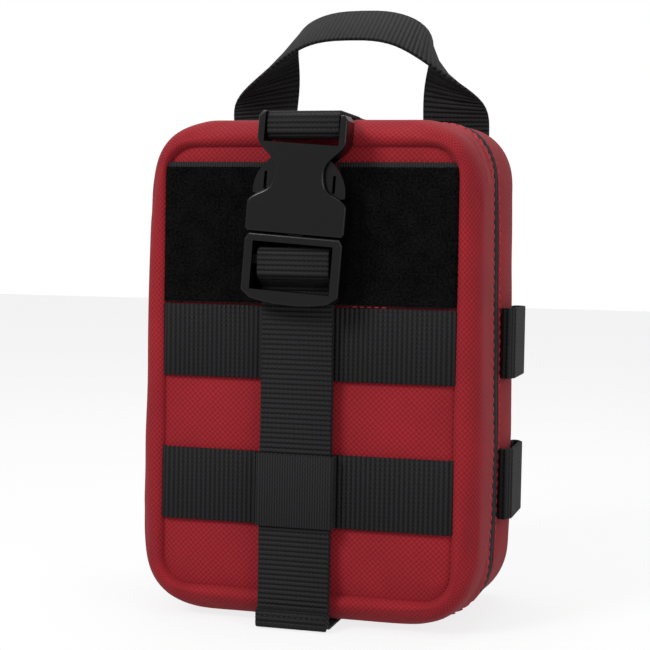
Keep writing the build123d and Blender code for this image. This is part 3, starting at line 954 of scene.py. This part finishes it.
# carry handle: flat feet on the back, a half twist up each leg, and a tilted crest
def makeHandle():
    armLow = place("carry_handle")[0]
    footLow, footHigh = place("handle_feet")
    handle = {"full": 0.93, "tilt": 32, "crestBack": 7.5 * mm}
    width = webbing["width"]
    reach = footHigh.x - width / 2
    base = armLow.z
    crest = base + 38 * mm
    y = (footLow.y + footHigh.y) / 2
    tilt = math.radians(handle["tilt"])
    pairs = []
    steps = 44
    for i in range(steps + 1):
        turn = math.pi * i / steps
        rise = math.sin(turn)
        share = min(1.0, rise / handle["full"])
        twist = math.pi / 2 * share * share * (3 - 2 * share)
        inward = 1 if i < steps / 2 else -1
        flat = math.copysign(abs(math.cos(turn)) ** 0.72, math.cos(turn))
        middle = Vector((-reach * flat, y - handle["crestBack"] * rise ** 1.3, base + (crest - base) * rise))
        across = Vector((
            inward * math.cos(twist), math.sin(twist) * math.cos(tilt), math.sin(twist) * math.sin(tilt)
        ))
        outer = middle - across * width / 2
        inner = middle + across * width / 2
        pairs.append((outer, inner))
    left = [
        ((-reach - width / 2, y, footLow.z + k * 3 * mm), (-reach + width / 2, y, footLow.z + k * 3 * mm))
        for k in range(6)
    ]
    right = [
        ((reach + width / 2, y, footLow.z + k * 3 * mm), (reach - width / 2, y, footLow.z + k * 3 * mm))
        for k in range(5, -1, -1)
    ]
    obj = ribbon("carryHandle", left + pairs + right)
    finishPiece(obj, None, nylonWebbing, ["carry_handle", "handle_feet"])
    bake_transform(obj)
    spots = []
    for s in (-1, 1):
        for z in (3, 13):
            spots += [
                (
                    Vector((s * reach + sx * mm, y + 0.72 * mm, footLow.z + z * mm)),
                    Vector((1, 0, 0)), Vector((0, 1, 0)),
                )
                for sx in range(-11, 12, 2)
            ]
    stitch = stitchShape(1.7 * mm, 0.28 * mm)
    spread("handleStitch", spots, stitch, "pouch_back", blackThread)


makeFrontWebbing()
makePatch()
makeStrap()
makeTopStrap()
makeSideWebbing()
makeHandle()
print("webbing made")


# cloth lengths in mm from the side that each face looks to
def clothUv(obj):
    while obj.data.uv_layers:
        obj.data.uv_layers.remove(obj.data.uv_layers[0])
    layer = obj.data.uv_layers.new(name="cloth")
    for face in obj.data.polygons:
        n = [abs(c) for c in face.normal]
        a, b = {0: (1, 2), 1: (0, 2), 2: (0, 1)}[n.index(max(n))]
        for i in face.loop_indices:
            p = obj.data.vertices[obj.data.loops[i].vertex_index].co
            layer.data[i].uv = (p[a] * 1000, p[b] * 1000)


# a box with its corners rounded along one axis, then all its rims softened
def block(name, low, high, corner=0.0, axis=1, rim=0.4 * mm, segments=6, cuts=0):
    bpy.ops.object.select_all(action="DESELECT")
    bpy.ops.mesh.primitive_cube_add(size=1, location=(Vector(low) + Vector(high)) / 2)
    obj = bpy.context.object
    obj.name = obj.data.name = name
    obj.scale = Vector(high) - Vector(low)
    bpy.ops.object.transform_apply(location=True, rotation=True, scale=True)
    if corner:
        bpy.ops.object.mode_set(mode="EDIT")
        bpy.ops.mesh.select_mode(type="EDGE")
        bpy.ops.mesh.select_all(action="DESELECT")
        bpy.ops.object.mode_set(mode="OBJECT")
        for edge in obj.data.edges:
            a, b = (obj.data.vertices[i].co for i in edge.vertices)
            edge.select = abs((a - b)[axis]) > 0.9 * (a - b).length
        bpy.ops.object.mode_set(mode="EDIT")
        bpy.ops.mesh.bevel(offset=corner, segments=segments)
        bpy.ops.object.mode_set(mode="OBJECT")
    if cuts:
        bpy.ops.object.mode_set(mode="EDIT")
        bpy.ops.mesh.select_all(action="SELECT")
        bpy.ops.mesh.subdivide(number_cuts=cuts)
        bpy.ops.object.mode_set(mode="OBJECT")
    if rim:
        soft = obj.modifiers.new("rim", "BEVEL")
        soft.width, soft.segments, soft.limit_method = rim, 3, "ANGLE"
        soft.angle_limit = math.radians(40)
        bpy.ops.object.modifier_apply(modifier=soft.name)
    bpy.ops.object.shade_smooth_by_angle(angle=math.radians(40))
    clothUv(obj)
    return obj


def makePanel():
    low, high = place("tear_away_panel")
    board = block("panelBoard", low, high, 17 * mm, rim=0.5 * mm, segments=10)
    finishPiece(board, "pouch_back", boardCordura, ["tear_away_panel"])
    edge = roundOutline(high.x, low.z, high.z, 17 * mm, 4 * mm)
    binding = loft("panelBinding", edge, easeProfile([
        (4.5 * mm, low.y - 0.25 * mm), (1.2 * mm, low.y - 0.5 * mm), (-0.6 * mm, low.y + 0.6 * mm),
        (-0.6 * mm, high.y - 0.6 * mm), (1.2 * mm, high.y + 0.5 * mm), (4.5 * mm, high.y + 0.25 * mm),
        (4.0 * mm, (low.y + high.y) / 2),
    ], 1.0 * mm))
    finishPiece(binding, "pouch_back", elasticBand)
    for name, node in (("hookField", "panel_hook_field"), ("loopField", "back_loop_field")):
        a, b = place(node)
        field = block(name, a, b, 9 * mm, rim=0.3 * mm, segments=6)
        finishPiece(field, "pouch_back", loopPile, [node])
    rowsLow, rowsHigh = place("panel_webbing")
    for k, z in enumerate((rowsLow.z, rowsHigh.z - webbing["width"])):
        y = (rowsLow.y + rowsHigh.y) / 2
        pairs = [
            ((rowsLow.x + (rowsHigh.x - rowsLow.x) * i / 30, y, z),
             (rowsLow.x + (rowsHigh.x - rowsLow.x) * i / 30, y, z + webbing["width"]))
            for i in range(31)
        ]
        row = ribbon(f"panelRow{k}", pairs, 1.4 * mm)
        finishPiece(row, "pouch_back", nylonWebbing, ["panel_webbing"])
        spots = []
        for x in (-48, -13, 13, 48):
            spots += [
                (
                    Vector((x * mm, rowsHigh.y + 0.02 * mm, z + (2 + 2 * i) * mm)),
                    Vector((0, 0, 1)), Vector((0, 1, 0)),
                )
                for i in range(12)
            ]
        stitch = stitchShape(1.8 * mm, 0.3 * mm)
        spread(f"panelTack{k}", spots, stitch, "pouch_back", blackThread)
    strapsLow, strapsHigh = place("attachment_straps")
    snapLow, snapHigh = place("strap_snaps")
    y = (strapsLow.y + strapsHigh.y) / 2
    for k, x in enumerate((strapsLow.x, strapsHigh.x - webbing["width"])):
        middle = x + webbing["width"] / 2
        course = [
            Vector((y + 0.12 * mm * math.sin(i * 0.9), strapsLow.z + (strapsHigh.z - strapsLow.z) * i / 30))
            for i in range(31)
        ]
        obj = sideStrap(f"attachmentStrap{k}", course, middle, webbing["width"])
        finishPiece(obj, "pouch_back", nylonWebbing, ["attachment_straps"])
        bpy.ops.object.select_all(action="DESELECT")
        z = (snapLow.z + snapHigh.z) / 2
        deep = snapHigh.y - snapLow.y
        bpy.ops.mesh.primitive_cylinder_add(
            vertices=48, radius=7 * mm, depth=deep, rotation=(math.pi / 2, 0, 0),
            location=(middle, (snapLow.y + snapHigh.y) / 2, z),
        )
        snap = bpy.context.object
        snap.name = snap.data.name = f"snapCap{k}"
        bpy.ops.object.transform_apply(location=True, rotation=True, scale=True)
        bpy.ops.object.mode_set(mode="EDIT")
        bpy.ops.mesh.select_mode(type="FACE")
        bpy.ops.mesh.select_all(action="DESELECT")
        bpy.ops.object.mode_set(mode="OBJECT")
        for face in snap.data.polygons:
            face.select = face.normal.y > 0.9
        bpy.ops.object.mode_set(mode="EDIT")
        bpy.ops.mesh.inset(thickness=1.6 * mm)
        bpy.ops.transform.translate(value=(0, -0.5 * mm, 0))
        bpy.ops.mesh.inset(thickness=1.2 * mm)
        bpy.ops.transform.translate(value=(0, 0.35 * mm, 0))
        bpy.ops.object.mode_set(mode="OBJECT")
        soft = snap.modifiers.new("soft", "BEVEL")
        soft.width, soft.segments, soft.limit_method = 0.35 * mm, 3, "ANGLE"
        bpy.ops.object.modifier_apply(modifier=soft.name)
        bpy.ops.object.shade_smooth_by_angle(angle=math.radians(40))
        finishPiece(snap, "pouch_back", blackenedBrass, ["strap_snaps"])


# a soft packet: a subdivided box that swells in its middle and is thin at its crimped rim
def pillow(name, low, high, puff, cuts=9):
    obj = block(name, low, high, 3 * mm, rim=0.0, segments=3, cuts=cuts)
    low, high = Vector(low), Vector(high)
    middle, half = (low + high) / 2, (high - low) / 2
    for v in obj.data.vertices:
        u, w = (v.co.x - middle.x) / half.x, (v.co.z - middle.z) / half.z
        full = max(0.0, (1 - u ** 4) * (1 - w ** 6)) ** 0.5
        v.co.y = middle.y + (v.co.y - middle.y) * (0.12 + full * puff)
        v.co.y += 0.35 * mm * noise.noise(v.co * 55)
    clothUv(obj)
    choose(obj)
    bpy.ops.object.shade_smooth()
    return obj


def makeInside():
    low, high = place("dressing_packets")
    for k, (x0, x1) in enumerate(((low.x, low.x + 40 * mm), (high.x - 40 * mm, high.x))):
        packet = pillow(f"dressingPacket{k}", (x0, low.y, low.z), (x1, high.y, high.z), 0.95)
        finishPiece(packet, "pouch_back", paperFilm, ["dressing_packets"])
    low, high = place("inner_pocket")
    wall = 0.9 * mm
    across = []
    for i in range(25):
        t = i / 24
        x = low.x + (high.x - low.x) * t
        y = low.y + wall + (high.y - low.y - wall) * (abs(2 * t - 1) ** 14)
        across.append(((x, y, low.z + 1 * mm), (x, y - 0.6 * mm, high.z)))
    pocket = ribbon("innerPocket", across, wall, soften=0.2 * mm)
    finishPiece(pocket, "pouch_back", blackLining, ["inner_pocket"])
    pairs = [
        ((x, y - 0.1 * mm, z - 9 * mm), (x, y - 0.1 * mm, z + 0.4 * mm)) for _, (x, y, z) in across
    ]
    hem = ribbon("pocketHem", pairs, 1.5 * mm, soften=0.3 * mm)
    finishPiece(hem, "pouch_back", elasticBand)
    low, high = place("bandage_rolls")
    r = (high.y - low.y) / 2
    for k, x in enumerate((-33 * mm, 0.0, 33 * mm)):
        turns, steps = 4.2, 130
        outline = []
        for i in range(steps + 1):
            a = 2 * math.pi * turns * i / steps
            far = r * (0.18 + 0.78 * i / steps)
            outline.append(((x + far * math.cos(a), (low.y + r) + far * math.sin(a), low.z),
                            (x + far * math.cos(a), (low.y + r) + far * math.sin(a), high.z)))
        roll = ribbon(f"bandageRoll{k}", outline, 1.5 * mm, soften=0.4 * mm)
        turnUv(roll)
        finishPiece(roll, "pouch_back", gauzeCrepe, ["bandage_rolls"])
    low, high = place("elastic_loops")
    for k, x in enumerate((-33 * mm, 0.0, 33 * mm)):
        radius = r + 0.8 * mm
        wallY = high.y
        middleY = low.y + radius + 0.5 * mm
        course = [(x - radius, wallY), (x - radius, middleY)]
        course += [
            (x - radius * math.cos(math.pi * i / 16), middleY - radius * math.sin(math.pi * i / 16))
            for i in range(1, 16)
        ]
        course += [(x + radius, middleY), (x + radius, wallY)]
        pairs = [((a, b, low.z), (a, b, high.z)) for a, b in course]
        band = ribbon(f"elasticLoop{k}", pairs, 0.9 * mm, soften=0.2 * mm)
        finishPiece(band, "pouch_back", elasticBand, ["elastic_loops"])
    low, high = place("lid_pocket")
    y = (low.y + high.y) / 2
    pairs = [
        ((low.x + (high.x - low.x) * i / 20, y + 0.2 * mm * math.sin(i), low.z),
         (low.x + (high.x - low.x) * i / 20, y - 0.1 * mm * math.sin(i), high.z))
        for i in range(21)
    ]
    sheet = ribbon("lidPocket", pairs, 0.9 * mm, soften=0.2 * mm)
    finishPiece(sheet, "lid", blackLining, ["lid_pocket"])


# crepe's ridges run along the roll's width, so its two cloth directions change places
def turnUv(obj):
    for item in obj.data.uv_layers["cloth"].data:
        item.uv = (item.uv[1], item.uv[0])


makePanel()
makeInside()
print("panel and inside made")


for node, material in (
    ("buckle_socket", acetal), ("buckle_plug", acetal), ("left_buckle_arm", acetal),
    ("right_buckle_arm", acetal), ("zipper_slider", blackEnamel), ("zipper_pull", blackEnamel),
):
    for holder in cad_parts[node].material_slots:
        holder.material = material
print("hard pieces finished")


def makeStudio():
    bpy.ops.object.select_all(action="DESELECT")
    bpy.ops.mesh.primitive_plane_add(size=6.0, location=(0, 0, -0.0002))
    floor = bpy.context.object
    floor.name = "studioFloor"
    bpy.ops.object.transform_apply(location=True, rotation=True, scale=True)
    material, tree, shader = newMaterial("paleFloor", Roughness=0.9)
    shader.inputs["Base Color"].default_value = (0.9, 0.9, 0.9, 1)
    shader.inputs["Alpha"].default_value = 0.2  # milky, so the opened lid shows where it swings below
    floor.data.materials.append(material)
    world = bpy.data.worlds.new("studio")
    bpy.context.scene.world = world
    world.use_nodes = True
    # the backdrop is white to look at, and gives half as much light
    tree = world.node_tree
    path = addNode(tree, "ShaderNodeLightPath")
    strength = addNode(
        tree, "ShaderNodeMapRange", {0: path.outputs["Is Camera Ray"], 3: 0.5, 4: 1.0}
    )
    tree.links.new(strength.outputs[0], tree.nodes["Background"].inputs["Strength"])
    tree.nodes["Background"].inputs["Color"].default_value = (1, 1, 1, 1)
    bpy.context.scene.view_settings.view_transform = "Standard"
    lights = {
        "keyLight": ((-0.5, -0.8, 0.75), 0.35, 7.5),
        "fillLight": ((0.75, -0.6, 0.4), 0.5, 2.4),
        "topLight": ((0.0, 0.15, 1.0), 0.6, 3.6),
    }
    for name, (where, size, power) in lights.items():
        data = bpy.data.lights.new(name, "AREA")
        data.energy, data.size = power, size
        lamp = bpy.data.objects.new(name, data)
        lamp.location = where
        lamp.rotation_euler = (Vector((0, 0, 0.1)) - Vector(where)).to_track_quat("-Z", "Y").to_euler()
        bpy.context.scene.collection.objects.link(lamp)


def makeCamera():
    camera = {
        "azimuth": 15.3, "elevation": 2.9, "roll": 1.0, "distance": 0.56, "lens": 84.6,
        "aim": (-0.0025, 0.0, 0.1036),
    }
    data = bpy.data.cameras.new("camera")
    data.lens, data.sensor_width = camera["lens"], 36.0
    data.clip_start = 0.01
    obj = bpy.data.objects.new("camera", data)
    a, e = math.radians(camera["azimuth"]), math.radians(camera["elevation"])
    aim = Vector(camera["aim"])
    away = Vector((math.sin(a) * math.cos(e), -math.cos(a) * math.cos(e), math.sin(e)))
    obj.location = aim + away * camera["distance"]
    roll = Matrix.Rotation(math.radians(camera["roll"]), 3, "Z")
    obj.rotation_euler = ((-away).to_track_quat("-Z", "Y").to_matrix() @ roll).to_euler()
    bpy.context.scene.collection.objects.link(obj)
    bpy.context.scene.camera = obj


makeStudio()
makeCamera()
print("studio made")
